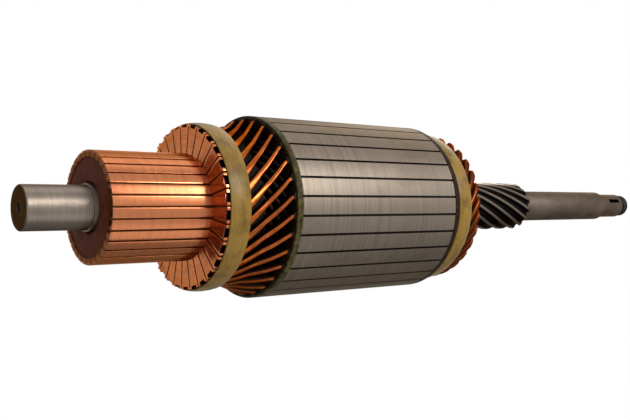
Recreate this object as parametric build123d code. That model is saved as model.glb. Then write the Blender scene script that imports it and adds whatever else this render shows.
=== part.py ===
from build123d import *
from math import cos, degrees, hypot, radians, sin, tan
import os

# Wound armature of a heavy starter motor, in millimetres and degrees. +X runs along the shaft from the
# commutator end to the drive end, +Z is up, and the origin is the middle of the commutator journal.
# An angle turns about +X from straight up.

# Counts of the winding
slot_count = 31
coil_pitch = 8
top_lead_sweep = 3
bottom_lead_sweep = 5
first_slot_angle = 2.5

# Shaft, from the commutator end to the drive end
journal_length = 30.0
journal_radius = 9.8
journal_chamfer = 0.6
seat_lead = 1.2
commutator_seat_radius = 10.7
core_seat_radius = 15.0
core_seat_overrun = 8.0
spline_start_gap = 4.1
spline_length = 73.7
spline_radius = 14.37
spline_root_radius = 12.0
spline_lead = 192.0
spline_teeth = 14
spline_land = 1.6
spline_tooth_foot = 2.9
spline_chamfer = 1.6
spline_first_angle = 15.8
spline_steps = 8
drive_journal_length = 87.7
drive_journal_radius = 9.44
drive_journal_taper = 2.1
pilot_length = 22.8
pilot_radius = 7.95
ring_groove_width = 2.7
ring_groove_radius = 6.3
end_button_length = 5.7
end_button_radius = 7.2
end_button_chamfer = 1.2
pilot_slot_start = 7.0
pilot_slot_length = 12.2
pilot_slot_width = 2.7
pilot_slot_depth = 3.0
pilot_slot_angle = 65.0
centre_hole_radius = 2.2
centre_hole_half_angle = 30.0

# Commutator
brush_track_length = 46.8
brush_radius = 25.05
riser_thickness = 7.9
riser_below_core = 6.1
mica_thickness = 0.8
mica_clearance = 0.01
mica_undercut = 0.8
bar_rim_depth = 2.9
bar_depth = 7.05
bar_hook_length = 5.0
bar_hook_slant = 2.5
moulding_clearance = 0.1
shaft_recess_depth = 2.0
shaft_recess_radius = 11.6

# Core
riser_to_core = 29.0
core_length = 101.0
core_radius = 44.5
end_insulator_thickness = 3.1
slot_opening = 1.15
slot_lip = 1.05

# Hairpin bars and what insulates them
bar_width = 2.4
bar_height = 4.4
bar_clearance = 0.05
layer_gap = 0.8
liner_wall = 0.25
liner_clearance = 0.05
liner_overhang = 1.1
lead_width = 4.2
lead_height = 2.2
lead_recess = 1.4
lead_gap = 0.1
lead_clearance = 0.05
neck_from_core = 15.0
collar_from_riser = 7.0
neck_below_core = 6.0
neck_bar_height = 3.4
neck_layer_gap = 1.5
drive_bend_length = 2.6
drive_run_end = 9.0
drive_below_core = 4.0
drive_bar_height = 3.8
drive_layer_gap = 1.4
core_to_nose = 25.9
nose_sweep_half = 3.5
nose_side_tilt = 30.0
nose_flare = 0.9
nose_side_width = 4.6
nose_tip_width = 4.0
collar_wall = 0.4
collar_clearance = 0.1

# Bands
commutator_band_setback = 1.6
commutator_band_width = 10.6
commutator_band_wall = 0.55
commutator_band_crown = 0.6
drive_band_from_core = 6.7
drive_band_width = 9.3
drive_band_wall = 0.7
drive_band_crown = 0.5
drive_band_clearance = 0.2
commutator_band_clearance = 0.05
band_flats_per_bar = 2

# Stations along the shaft
shaft_start = -journal_length / 2
commutator_front = journal_length / 2
riser_face = commutator_front + brush_track_length
riser_back = riser_face + riser_thickness
core_front = riser_back + riser_to_core
core_back = core_front + core_length
nose_end = core_back + core_to_nose
spline_start = nose_end + spline_start_gap
spline_end = spline_start + spline_length
drive_journal_end = spline_end + drive_journal_length
pilot_start = drive_journal_end + drive_journal_taper
pilot_end = pilot_start + pilot_length
button_start = pilot_end + ring_groove_width
shaft_end = button_start + end_button_length
insulator_front = core_front - end_insulator_thickness
insulator_back = core_back + end_insulator_thickness
liner_front = insulator_front - liner_overhang
liner_back = insulator_back + liner_overhang

# Radii that follow the core
riser_radius = core_radius - riser_below_core
neck_radius = core_radius - neck_below_core
drive_radius = core_radius - drive_below_core

# Radii inside a slot, from the lip inwards
slot_pitch = 360 / slot_count
slot_side_gap = bar_clearance + liner_wall + liner_clearance
slot_width = bar_width + 2 * slot_side_gap
slot_top = core_radius - slot_lip
top_leg_radius = slot_top - slot_side_gap - bar_height / 2
bottom_leg_radius = top_leg_radius - bar_height - layer_gap
slot_bottom = bottom_leg_radius - bar_height / 2 - slot_side_gap

# Radii of the two layers outside the slots, at the middle of a bar
top_lead_radius = riser_radius - lead_recess - lead_height / 2
bottom_lead_radius = top_lead_radius - lead_height - lead_gap
riser_slot_floor = bottom_lead_radius - lead_height / 2 - lead_clearance
top_neck_radius = neck_radius - neck_bar_height / 2
bottom_neck_radius = top_neck_radius - neck_bar_height - neck_layer_gap
top_drive_radius = drive_radius - drive_bar_height / 2
bottom_drive_radius = top_drive_radius - drive_bar_height - drive_layer_gap
nose_radius = (top_drive_radius + bottom_drive_radius) / 2 + nose_flare
nose_turn_radius = (top_drive_radius - bottom_drive_radius) / 2
nose_centre = nose_end - nose_turn_radius - drive_bar_height / 2

# Commutator bar, from its brush face inwards
bar_rim_radius = brush_radius - bar_rim_depth
bar_foot_radius = brush_radius - bar_depth
hook_front = commutator_front + bar_hook_length
hook_back = riser_back - bar_hook_length


def outline(points):
    """Flat face in the plane of the shaft axis and straight up, from (x, radius) points."""
    return make_face(Polyline([(x, 0, radius) for x, radius in points], close=True))


def turned(points):
    """Solid of revolution about the shaft axis, from (x, radius) points."""
    return revolve(outline(points), Axis.X)


def plate(points, thickness):
    """Flat plate of even thickness across the plane of the shaft axis and straight up."""
    return extrude(outline(points), thickness / 2, both=True)


def slab(x_start, x_end, profile):
    """A profile drawn across the shaft, local y straight up, extruded along the shaft."""
    return extrude(Plane.YZ.offset(x_start) * profile, x_end - x_start)


def upright(width, low, high):
    """Upright rectangle across the shaft, between two heights above the axis."""
    return Pos(0, (low + high) / 2) * Rectangle(width, high - low)


def many_sided(apothem):
    """Polygon across the shaft with one flat under each commutator bar."""
    return Rot(0, 0, first_slot_angle + 90) * RegularPolygon(
        apothem, slot_count, major_radius=False, rotation=slot_pitch / 2
    )


def ring(points, flats_per_bar=1):
    """Ring with flat sides, from (x, apothem) points that go once round its section."""
    step = slot_pitch / flats_per_bar
    rims = []
    for i in range(slot_count * flats_per_bar):
        angle = radians(first_slot_angle + slot_pitch / 2 + i * step)
        stretch = 1 / cos(radians(step / 2))
        rims.append([Vector(x, -r * stretch * sin(angle), r * stretch * cos(angle)) for x, r in points])
    faces = []
    for near, far in zip(rims, rims[1:] + rims[:1]):
        for i in range(len(points)):
            j = (i + 1) % len(points)
            faces.append(Face(Wire.make_polygon([near[i], near[j], far[j], far[i]])))
    return Solid(Shell(faces))


def slot_angles():
    return [first_slot_angle + i * slot_pitch for i in range(slot_count)]


def around(solid, angles):
    """Copies of a solid turned about the shaft axis."""
    return [Rot(angle, 0, 0) * solid for angle in angles]


def faceted(sections):
    """Solid through a row of sections, with two flat facets on each side between neighbours."""
    faces = [Face(Wire.make_polygon(sections[0])), Face(Wire.make_polygon(sections[-1]))]
    for near, far in zip(sections, sections[1:]):
        for i in range(len(near)):
            j = (i + 1) % len(near)
            faces.append(Face(Wire.make_polygon([near[i], near[j], far[j]])))
            faces.append(Face(Wire.make_polygon([near[i], far[j], far[i]])))
    return Solid(Shell(faces))


def spline_section(x, tip):
    """Corners of the toothed section at a place along the spline, up to a tip radius."""
    half_land = degrees(spline_land / 2 / spline_radius)
    half_foot = degrees(spline_tooth_foot / 2 / spline_root_radius)
    flanks = (
        (spline_root_radius, -half_foot),
        (tip, -half_land),
        (tip, half_land),
        (spline_root_radius, half_foot),
    )
    turn = spline_first_angle + 360 * (x - spline_start) / spline_lead
    points = []
    for tooth in range(spline_teeth):
        for radius, offset in flanks:
            angle = radians(turn + tooth * 360 / spline_teeth + offset)
            points.append(Vector(x, -radius * sin(angle), radius * cos(angle)))
    return points


def spline():
    """Helical spline, twisted in even steps and chamfered at the journal end."""
    run = spline_length - 2 * spline_chamfer
    stations = [spline_start + run * i / spline_steps for i in range(spline_steps + 1)]
    sections = [spline_section(x, spline_radius) for x in stations]
    sections.append(spline_section(spline_end, spline_radius - spline_chamfer))
    return faceted(sections)


def shaft():
    """Turned shaft with both lathe centres, the helical spline and the slot of the pilot journal."""
    centre_depth = centre_hole_radius / tan(radians(centre_hole_half_angle))
    seat_start = commutator_front - seat_lead
    core_seat_start = insulator_front - core_seat_overrun
    body = turned(
        [
            (shaft_start + centre_depth, 0),
            (shaft_start, centre_hole_radius),
            (shaft_start, journal_radius - journal_chamfer),
            (shaft_start + journal_chamfer, journal_radius),
            (seat_start, journal_radius),
            (seat_start, commutator_seat_radius),
            (core_seat_start, commutator_seat_radius),
            (core_seat_start, core_seat_radius),
            (spline_start, core_seat_radius),
            (spline_start, drive_journal_radius),
            (drive_journal_end, drive_journal_radius),
            (pilot_start, pilot_radius),
            (pilot_end, pilot_radius),
            (pilot_end, ring_groove_radius),
            (button_start, ring_groove_radius),
            (button_start, end_button_radius),
            (shaft_end - end_button_chamfer, end_button_radius),
            (shaft_end, end_button_radius - end_button_chamfer),
            (shaft_end, centre_hole_radius),
            (shaft_end - centre_depth, 0),
        ]
    )
    slot_start = pilot_start + pilot_slot_start
    slot = slab(
        slot_start,
        slot_start + pilot_slot_length,
        upright(pilot_slot_width, pilot_radius - pilot_slot_depth, 2 * pilot_radius),
    )
    return body + spline() - Rot(pilot_slot_angle, 0, 0) * slot


def lamination_stack():
    """Pressed pack of sheets with semi-closed slots."""
    slot = upright(slot_width, slot_bottom, slot_top)
    slot += upright(slot_opening, slot_top - slot_lip, core_radius + slot_lip)
    sheet = Circle(core_radius) - many_sided(core_seat_radius)
    sheet -= [Rot(0, 0, angle) * slot for angle in slot_angles()]
    return slab(core_front, core_back, sheet)


def end_insulator(x_start):
    """Board ring at an end of the core, with a closed window over each slot."""
    window = upright(slot_width, slot_bottom, slot_top)
    board = many_sided(core_radius * cos(radians(slot_pitch / 2))) - many_sided(core_seat_radius)
    board -= [Rot(0, 0, angle) * window for angle in slot_angles()]
    return slab(x_start, x_start + end_insulator_thickness, board)


def slot_liners():
    """One folded tube of insulation in each slot, standing out of both ends of the core."""
    gap = liner_clearance
    outside = upright(slot_width - 2 * gap, slot_bottom + gap, slot_top - gap)
    gap += liner_wall
    inside = upright(slot_width - 2 * gap, slot_bottom + gap, slot_top - gap)
    return around(slab(liner_front, liner_back, outside - inside), slot_angles())


def bar_section(x, radius, angle, tilt, width, height):
    """Corners of a bar's section. Tilt leans its height from outwards, through +X, to inwards."""
    out = Vector(0, -sin(radians(angle)), cos(radians(angle)))
    side = Vector(0, cos(radians(angle)), sin(radians(angle)))
    up = Vector(1, 0, 0) * sin(radians(tilt)) + out * cos(radians(tilt))
    middle = Vector(x, 0, 0) + out * radius
    corners = ((-1, 1), (1, 1), (1, -1), (-1, -1))
    return [middle + side * (width / 2 * a) + up * (height / 2 * b) for a, b in corners]


def slanted_width(radius, sweep, length):
    """Width across the shaft of a bar that turns through a sweep over a length."""
    return bar_width * hypot(1, radius * radians(sweep) / length)


def lead_sections(leg_radius, neck, lead, leg_angle, sweep, tilt):
    """Sections of a lead, from the riser face to the mouth of its slot."""
    run = liner_front - riser_back
    width = slanted_width(neck, sweep, run)
    sections = [
        bar_section(riser_face, lead, leg_angle + sweep, tilt, lead_width, lead_height),
        bar_section(riser_back, lead, leg_angle + sweep, tilt, lead_width, lead_height),
    ]
    neck_x = core_front - neck_from_core
    neck_angle = leg_angle + sweep * (liner_front - neck_x) / run
    sections.append(bar_section(neck_x, neck, neck_angle, tilt, width, neck_bar_height))
    sections.append(bar_section(liner_front, leg_radius, leg_angle, tilt, bar_width, bar_height))
    return sections


def drive_sections(leg_radius, run_radius, leg_angle, sweep, tilt):
    """Sections of a leg's drive end, from the mouth of its slot towards the nose."""
    run = nose_centre - liner_back
    width = slanted_width(run_radius, sweep, run)
    sections = [bar_section(liner_back, leg_radius, leg_angle, tilt, bar_width, bar_height)]
    for step in (drive_bend_length, drive_run_end):
        angle = leg_angle + sweep * step / run
        sections.append(bar_section(liner_back + step, run_radius, angle, tilt, width, drive_bar_height))
    return sections


def nose_sections(angle):
    """Sections round the nose, where the bar folds from the top layer to the bottom layer."""
    sections = []
    for tilt, turn, width in (
        (nose_side_tilt, nose_sweep_half, nose_side_width),
        (90, 0, nose_tip_width),
        (180 - nose_side_tilt, -nose_sweep_half, nose_side_width),
    ):
        x = nose_centre + nose_turn_radius * sin(radians(tilt))
        radius = nose_radius + nose_turn_radius * cos(radians(tilt))
        sections.append(bar_section(x, radius, angle + turn, tilt, width, drive_bar_height))
    return sections


def hairpin():
    """One coil: a top leg in the slot at straight up, and a bottom leg one coil pitch away."""
    bottom_angle = -coil_pitch * slot_pitch
    half_pitch = coil_pitch * slot_pitch / 2
    run_sweep = half_pitch - nose_sweep_half
    top_lead = lead_sections(
        top_leg_radius, top_neck_radius, top_lead_radius, 0, top_lead_sweep * slot_pitch, 0
    )
    bottom_lead = lead_sections(
        bottom_leg_radius,
        bottom_neck_radius,
        bottom_lead_radius,
        bottom_angle,
        -bottom_lead_sweep * slot_pitch,
        180,
    )
    top_drive = drive_sections(top_leg_radius, top_drive_radius, 0, -run_sweep, 0)
    bottom_drive = drive_sections(bottom_leg_radius, bottom_drive_radius, bottom_angle, run_sweep, 180)
    nose = nose_sections(-half_pitch)
    return faceted(top_lead + top_drive + nose + bottom_drive[::-1] + bottom_lead[::-1])


def layer_insulation(x_start, x_end, bottom_radius, bar_half_height, bar_spread):
    """Wrapped collar between the layers, with one flat for each bar of the bottom layer."""
    inside = hypot(bottom_radius + bar_half_height, bar_spread / 2) + collar_clearance
    outside = inside + collar_wall
    return ring([(x_start, inside), (x_start, outside), (x_end, outside), (x_end, inside)])


def bar_underside():
    """Underside of the commutator bars, with a hook at each end, from front to back."""
    return [
        (commutator_front, bar_rim_radius),
        (hook_front, bar_rim_radius),
        (hook_front - bar_hook_slant, bar_foot_radius),
        (hook_back + bar_hook_slant, bar_foot_radius),
        (hook_back, bar_rim_radius),
        (riser_back, bar_rim_radius),
    ]


def commutator_bar():
    """Copper bar at straight up: a brush face, a riser and the slot that takes two coil leads."""
    half = radians(slot_pitch / 2)
    above = riser_radius + mica_thickness
    spread = above * tan(half) - mica_thickness / 2 / cos(half)
    wedge = make_face(
        Polyline((0, mica_thickness / 2 / sin(half)), (spread, above), (-spread, above), close=True)
    )
    envelope = turned(
        [
            (commutator_front, 0),
            (commutator_front, brush_radius),
            (riser_face, brush_radius),
            (riser_face, above),
            (riser_back, above),
            (riser_back, 0),
        ]
    )
    rim = riser_radius * cos(half)
    blank = plate(bar_underside() + [(riser_back, rim), (commutator_front, rim)], 2 * above)
    lead_slot = upright(lead_width + 2 * lead_clearance, riser_slot_floor, above)
    bar = blank & slab(commutator_front, riser_back, wedge) & envelope
    return bar - slab(riser_face, riser_back, lead_slot)


def mica_separators():
    """Plates between the bars, cut back below the brush faces and the risers."""
    foot = (bar_rim_radius - moulding_clearance) / cos(radians(slot_pitch / 2)) + mica_clearance
    edges = [
        (commutator_front, foot),
        (riser_back, foot),
        (riser_back, riser_radius - mica_undercut),
        (riser_face + mica_undercut, riser_radius - mica_undercut),
        (riser_face + mica_undercut, brush_radius - mica_undercut),
        (commutator_front, brush_radius - mica_undercut),
    ]
    sheet = plate(edges, mica_thickness - 2 * mica_clearance)
    return around(sheet, [angle + slot_pitch / 2 for angle in slot_angles()])


def commutator_moulding():
    """Resin body that grips the hooks of the bars, with a recess round the shaft at the front."""
    gap = moulding_clearance
    rim = bar_rim_radius - gap
    foot = bar_foot_radius - gap
    recess_back = commutator_front + shaft_recess_depth
    return ring(
        [
            (commutator_front, shaft_recess_radius),
            (commutator_front, rim),
            (hook_front - gap, rim),
            (hook_front - bar_hook_slant - gap, foot),
            (hook_back + bar_hook_slant + gap, foot),
            (hook_back + gap, rim),
            (riser_back, rim),
            (riser_back, commutator_seat_radius),
            (recess_back, commutator_seat_radius),
            (recess_back, shaft_recess_radius),
        ]
    )


def band(x_start, width, inner_radius, wall, crown):
    """Wound glass-fibre band with a crowned outside."""
    x_end = x_start + width
    edge = inner_radius + wall
    section = [
        (x_start, inner_radius),
        (x_start, edge),
        (x_start + width / 2, edge + crown),
        (x_end, edge),
        (x_end, inner_radius),
    ]
    return ring(section, band_flats_per_bar)


def pieces():
    """Every piece by its name, each a list of solids."""
    lead_run = liner_front - riser_back
    bottom_lead_width = slanted_width(bottom_neck_radius, bottom_lead_sweep * slot_pitch, lead_run)
    run_sweep = coil_pitch * slot_pitch / 2 - nose_sweep_half
    bottom_drive_width = slanted_width(bottom_drive_radius, run_sweep, nose_centre - liner_back)
    top_drive_width = slanted_width(top_drive_radius, run_sweep, nose_centre - liner_back)
    found = {
        "shaft": [shaft()],
        "lamination_stack": [lamination_stack()],
        "end_insulator_commutator_side": [end_insulator(insulator_front)],
        "end_insulator_drive_side": [end_insulator(core_back)],
        "slot_liners": slot_liners(),
        "armature_coils": around(hairpin(), slot_angles()),
        "layer_insulation_commutator_side": [
            layer_insulation(
                riser_back + collar_from_riser,
                core_front - neck_from_core,
                bottom_neck_radius,
                neck_bar_height / 2,
                bottom_lead_width,
            )
        ],
        "layer_insulation_drive_side": [
            layer_insulation(
                liner_back + drive_bend_length,
                liner_back + drive_run_end,
                bottom_drive_radius,
                drive_bar_height / 2,
                bottom_drive_width,
            )
        ],
        "mica_separators": mica_separators(),
        "commutator_moulding": [commutator_moulding()],
        "commutator_end_band": [
            band(
                riser_face + commutator_band_setback,
                commutator_band_width,
                riser_radius + commutator_band_clearance,
                commutator_band_wall,
                commutator_band_crown,
            )
        ],
        "drive_end_band": [
            band(
                core_back + drive_band_from_core,
                drive_band_width,
                hypot(drive_radius, top_drive_width / 2) + drive_band_clearance,
                drive_band_wall,
                drive_band_crown,
            )
        ],
    }
    for i, bar in enumerate(around(commutator_bar(), slot_angles()), start=1):
        found[f"commutator_segment_{i:02d}"] = [bar]
    return found


os.makedirs("parts", exist_ok=True)
for name, solids in pieces().items():
    export_step(solids[0] if len(solids) == 1 else Compound(children=solids), f"parts/{name}.step")
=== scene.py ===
from math import asin, cos, hypot, pi, radians, sin

import bmesh
import bpy
import numpy as np
from bpy.props import FloatProperty, FloatVectorProperty, IntProperty, PointerProperty
from mathutils import Matrix, Vector


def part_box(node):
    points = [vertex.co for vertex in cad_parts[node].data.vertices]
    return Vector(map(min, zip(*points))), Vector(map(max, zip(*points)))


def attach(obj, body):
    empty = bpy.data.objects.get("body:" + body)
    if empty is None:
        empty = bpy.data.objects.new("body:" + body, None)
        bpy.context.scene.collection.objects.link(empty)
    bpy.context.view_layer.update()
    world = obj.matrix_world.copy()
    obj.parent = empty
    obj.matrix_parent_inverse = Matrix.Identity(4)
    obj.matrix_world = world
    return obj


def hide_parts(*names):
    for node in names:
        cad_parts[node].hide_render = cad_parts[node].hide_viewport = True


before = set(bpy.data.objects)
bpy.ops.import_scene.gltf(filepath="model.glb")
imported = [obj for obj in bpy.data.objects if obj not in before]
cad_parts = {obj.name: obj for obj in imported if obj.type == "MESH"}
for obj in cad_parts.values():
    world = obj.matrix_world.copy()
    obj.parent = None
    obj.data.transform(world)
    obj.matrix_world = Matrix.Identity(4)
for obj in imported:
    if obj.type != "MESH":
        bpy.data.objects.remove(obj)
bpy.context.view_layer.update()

bl_info = {
    "name": "Wound Motor Armature",
    "version": (1, 0, 0),
    "blender": (4, 5, 0),
    "location": "View3D > Sidebar > Armature",
    "description": "Dresses the wound armature of a heavy starter motor and sets up its studio",
    "category": "Object",
}

BODY = "root"


def span(node):
    """Where a CAD node starts and ends along the shaft."""
    low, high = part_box(node)
    return low.x, high.x


SHAFT_START, SHAFT_END = span("shaft")
BARS_START, BARS_END = span("commutator_segment_01")
CORE_START, CORE_END = span("lamination_stack")
FRONT_BAND_START, FRONT_BAND_END = span("commutator_end_band")
REAR_BAND_START, REAR_BAND_END = span("drive_end_band")

# Number of slots, of hairpins and of commutator bars, and the turn of the first of each, in degrees.
SLOTS = 31
FIRST_ANGLE = 2.5

# How far the lengths of the shaft run into each other, in metres.
OVERLAP = 0.001
# A rounded corner this near to the shaft's axis is put back on it.
AXIS_REACH = 2e-4
# The largest share of a side that the rounding of its corner may take.
MOST_ROUNDING = 0.45

# Length over which one finish gives way to the next, in metres.
FADE = 0.0002
# Depth at which a gap between bright edges is fully dark.
SHADOW = 0.0007
# Length over which the winding takes on the colour of its noses.
NOSE_FADE = 0.004

# How round a lead is in its riser, as a share of the rounding elsewhere.
LEAD_ROUNDNESS = 0.08
# Length that a hairpin's turn to the bottom layer counts for, per radian, where its bends are eased.
LEAN_WEIGHT = 0.01
# About how far apart a bar's sections are, and the length past which a stretch is straight and has none.
SECTION_STEP = 0.0025
STRAIGHT_RUN = 0.05
# A bar that leans over by more than this lies in the bottom layer, where it mostly takes the dark colour,
# partly varnished and partly painted shade under the top layer.
BOTTOM_LEAN = 2.7
BOTTOM_SHINE = 0.25

# Place, aim, width and height of each softbox.
LAMPS = {
    "key": ((0.46, -0.9, 0.49), (0.04, 0.0, 0.0), 0.46, 0.46),
    "side": ((-0.9, -0.75, 0.35), (0.05, 0.0, 0.0), 0.7, 0.7),
    "top": ((0.2, 0.1, 1.1), (0.2, 0.0, 0.0), 1.4, 0.6),
    "low": ((0.10, -0.22, -0.24), (0.05, -0.02, 0.0), 0.3, 0.2),
    "back": ((1.0, 0.45, 0.45), (0.25, 0.0, 0.0), 0.6, 0.6),
}


def length(label, default, description):
    return FloatProperty(name=label, description=description, default=default, unit="LENGTH", precision=5)


def angle(label, default, description):
    return FloatProperty(name=label, description=description, default=radians(default), subtype="ANGLE")


def count(label, default, description):
    return IntProperty(name=label, description=description, default=default, min=1)


def amount(label, default, description, unit="NONE"):
    return FloatProperty(name=label, description=description, default=default, min=0.0, unit=unit)


def colour(label, default, description):
    return FloatVectorProperty(
        name=label, description=description, default=default, subtype="COLOR", size=3, min=0.0, max=1.0
    )


def place(label, default, description):
    return FloatVectorProperty(
        name=label, description=description, default=default, subtype="TRANSLATION", size=3, unit="LENGTH"
    )


def direction(label, default, description):
    return FloatVectorProperty(
        name=label, description=description, default=default, subtype="DIRECTION", size=3
    )


class ShaftSettings(bpy.types.PropertyGroup):
    start: length("Commutator end", SHAFT_START, "Where the shaft starts")
    journal_radius: length("Journal radius", 0.0098, "Radius of the journal at the commutator end")
    journal_chamfer: length("Journal chamfer", 0.0006, "Chamfer of the journal's end")
    seat_start: length("Commutator seat", 0.0138, "Where the seat of the commutator starts")
    seat_radius: length("Commutator seat radius", 0.0107, "Radius under the commutator")
    core_seat_start: length("Core seat", 0.0876, "Where the seat of the core starts")
    core_seat_radius: length("Core seat radius", 0.015, "Radius under the core")
    spline_start: length("Spline start", 0.2297, "Where the helical spline starts")
    spline_end: length("Spline end", 0.3034, "Where the helical spline ends")
    spline_radius: length("Spline radius", 0.01437, "Radius over the lands of the spline")
    spline_root: length("Spline root", 0.012, "Radius at the bottom of the spline's grooves")
    spline_land: length("Spline land", 0.0016, "Width of a tooth at its tip")
    spline_foot: length("Spline foot", 0.0029, "Width of a tooth at its root")
    spline_lead: length("Spline lead", 0.192, "Length in which the spline turns once")
    spline_chamfer: length("Spline chamfer", 0.0016, "Drop of the chamfer at the spline's end")
    spline_teeth: count("Spline teeth", 14, "Number of teeth of the spline")
    spline_angle: angle("Spline angle", 15.8, "Turn of the first tooth where the spline starts")
    tooth_round: length("Tooth rounding", 0.0003, "Rounding of the spline's teeth")
    drive_radius: length("Drive journal radius", 0.00944, "Radius of the drive journal")
    drive_end: length("Drive journal end", 0.3911, "Where the drive journal ends")
    pilot_start: length("Pilot start", 0.3932, "Where the pilot journal starts")
    pilot_end: length("Pilot end", 0.416, "Where the pilot journal ends")
    pilot_radius: length("Pilot radius", 0.00795, "Radius of the pilot journal")
    groove_radius: length("Groove radius", 0.0063, "Radius at the bottom of the ring groove")
    button_start: length("Button start", 0.4187, "Where the end button starts")
    button_radius: length("Button radius", 0.0072, "Radius of the end button")
    button_chamfer: length("Button chamfer", 0.0012, "Chamfer of the end button")
    end: length("Drive end", SHAFT_END, "Where the shaft ends")
    centre_radius: length("Centre hole radius", 0.0022, "Radius of a lathe centre at the surface")
    centre_depth: length("Centre hole depth", 0.00381, "Depth of a lathe centre")
    slot_start: length("Slot start", 0.4002, "Where the slot of the pilot journal starts")
    slot_length: length("Slot length", 0.0122, "Length of the slot")
    slot_width: length("Slot width", 0.0027, "Width of the slot")
    slot_depth: length("Slot depth", 0.003, "Depth of the slot")
    slot_angle: angle("Slot angle", 65.0, "Turn of the slot from straight up")
    edge_round: length("Edge rounding", 0.0002, "Rounding of the turned edges")
    sides: count("Sides", 96, "Sides of a turned length")


class CommutatorSettings(bpy.types.PropertyGroup):
    bars: count("Bars", SLOTS, "Number of commutator bars")
    first_angle: angle("First bar", FIRST_ANGLE, "Turn of the first bar from straight up")
    front: length("Front", BARS_START, "Where the bars start")
    riser_face: length("Riser face", 0.0618, "Where the risers start")
    riser_back: length("Riser back", BARS_END, "Where the risers end")
    brush_radius: length("Brush radius", 0.02505, "Radius of the brush track")
    rim_radius: length("Rim radius", 0.02215, "Radius of the underside of the bars")
    riser_radius: length("Riser radius", 0.0384, "Radius over the risers")
    slot_floor: length("Lead slot floor", 0.03245, "Radius at the bottom of the lead slots")
    slot_width: length("Lead slot width", 0.0043, "Width of the lead slots")
    mica: length("Mica", 0.0008, "Gap between the bars")
    edge_break: length("Edge break", 0.00008, "Rounding of the edges of the bars")
    face_inset: length("Resin inset", 0.0004, "How far the resin face lies behind the front of the bars")
    recess_radius: length("Recess radius", 0.0116, "Radius of the recess round the shaft")
    recess_depth: length("Recess depth", 0.002, "Depth of the recess round the shaft")
    bore: length("Bore", 0.0107, "Radius of the hole in the resin body")
    resin_round: length("Resin rounding", 0.0002, "Rounding of the edges of the resin body")


class CoreSettings(bpy.types.PropertyGroup):
    slots: count("Slots", SLOTS, "Number of slots")
    first_angle: angle("First slot", FIRST_ANGLE, "Turn of the first slot from straight up")
    front: length("Front", CORE_START, "Where the sheets start")
    back: length("Back", CORE_END, "Where the sheets end")
    radius: length("Radius", 0.0445, "Outer radius of the core")
    bore: length("Bore", 0.015, "Radius of the hole for the shaft")
    board: length("Board", 0.0031, "Thickness of the end boards")
    slot_opening: length("Slot opening", 0.00115, "Width of the slit over a slot")
    slot_width: length("Slot width", 0.0031, "Width of a slot below its lips")
    slot_top: length("Slot top", 0.04345, "Radius under the lips of a slot")
    slot_bottom: length("Slot bottom", 0.03315, "Radius at the bottom of a slot")
    edge_break: length("Edge break", 0.00025, "Rounding of the outer edges")
    weld: length("Weld", 2e-6, "Distance at which the copies of a sector grow together")


class WindingSettings(bpy.types.PropertyGroup):
    coils: count("Coils", SLOTS, "Number of hairpins")
    pitch: count("Pitch", 8, "Slots from one leg of a hairpin to the other")
    top_sweep: count("Top sweep", 3, "Slots that a top lead turns through")
    bottom_sweep: count("Bottom sweep", 5, "Slots that a bottom lead turns through")
    first_angle: angle("First slot", FIRST_ANGLE, "Turn of the first slot from straight up")
    lead_start: length("Lead start", 0.0618, "Where the leads start")
    lead_end: length("Lead end", BARS_END, "Where the leads leave the risers")
    neck: length("Neck", 0.0837, "Where the leads start to rise into the slots")
    slot_front: length("Slot front", 0.0945, "Where the legs enter the slots")
    slot_back: length("Slot back", 0.2039, "Where the legs leave the slots")
    bend: length("Bend", 0.0026, "Length of the bend behind the slots")
    run: length("Run", 0.009, "Length from the slots to the noses")
    nose: length("Nose", 0.2211, "Centre of the turn of the noses")
    nose_flare: length("Nose flare", 0.0009, "How far the noses stand out from the middle of the layers")
    top_lead: length("Top lead", 0.0359, "Radius at the middle of a top lead")
    bottom_lead: length("Bottom lead", 0.0336, "Radius at the middle of a bottom lead")
    top_neck: length("Top neck", 0.0368, "Radius at the middle of a top bar's neck")
    bottom_neck: length("Bottom neck", 0.0319, "Radius at the middle of a bottom bar's neck")
    top_leg: length("Top leg", 0.0409, "Radius at the middle of a top leg")
    bottom_leg: length("Bottom leg", 0.0357, "Radius at the middle of a bottom leg")
    top_run: length("Top run", 0.0386, "Radius at the middle of a top bar behind the core")
    bottom_run: length("Bottom run", 0.0334, "Radius at the middle of a bottom bar behind the core")
    bar_width: length("Bar width", 0.0024, "Width of a bar")
    leg_height: length("Leg height", 0.0044, "Height of a bar in its slot")
    lead_width: length("Lead width", 0.00429, "Width of a flattened lead with its solder")
    lead_height: length("Lead height", 0.00229, "Height of a flattened lead with its solder")
    neck_height: length("Neck height", 0.0034, "Height of a bar at its neck")
    run_height: length("Run height", 0.0038, "Height of a bar behind the core")
    nose_side: length("Nose side", 0.0046, "Width of a bar beside its nose")
    nose_tip: length("Nose tip", 0.004, "Width of a bar at its nose")
    nose_sweep: angle("Nose sweep", 3.5, "Half of the turn of a nose")
    nose_lean: angle("Nose lean", 30.0, "Lean of the bar where its nose begins")
    corner: length("Corner", 0.0010, "Rounding of a bar's corners")
    ease: length("Ease", 0.0022, "Reach of the rounding of a bar's bends")


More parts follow.
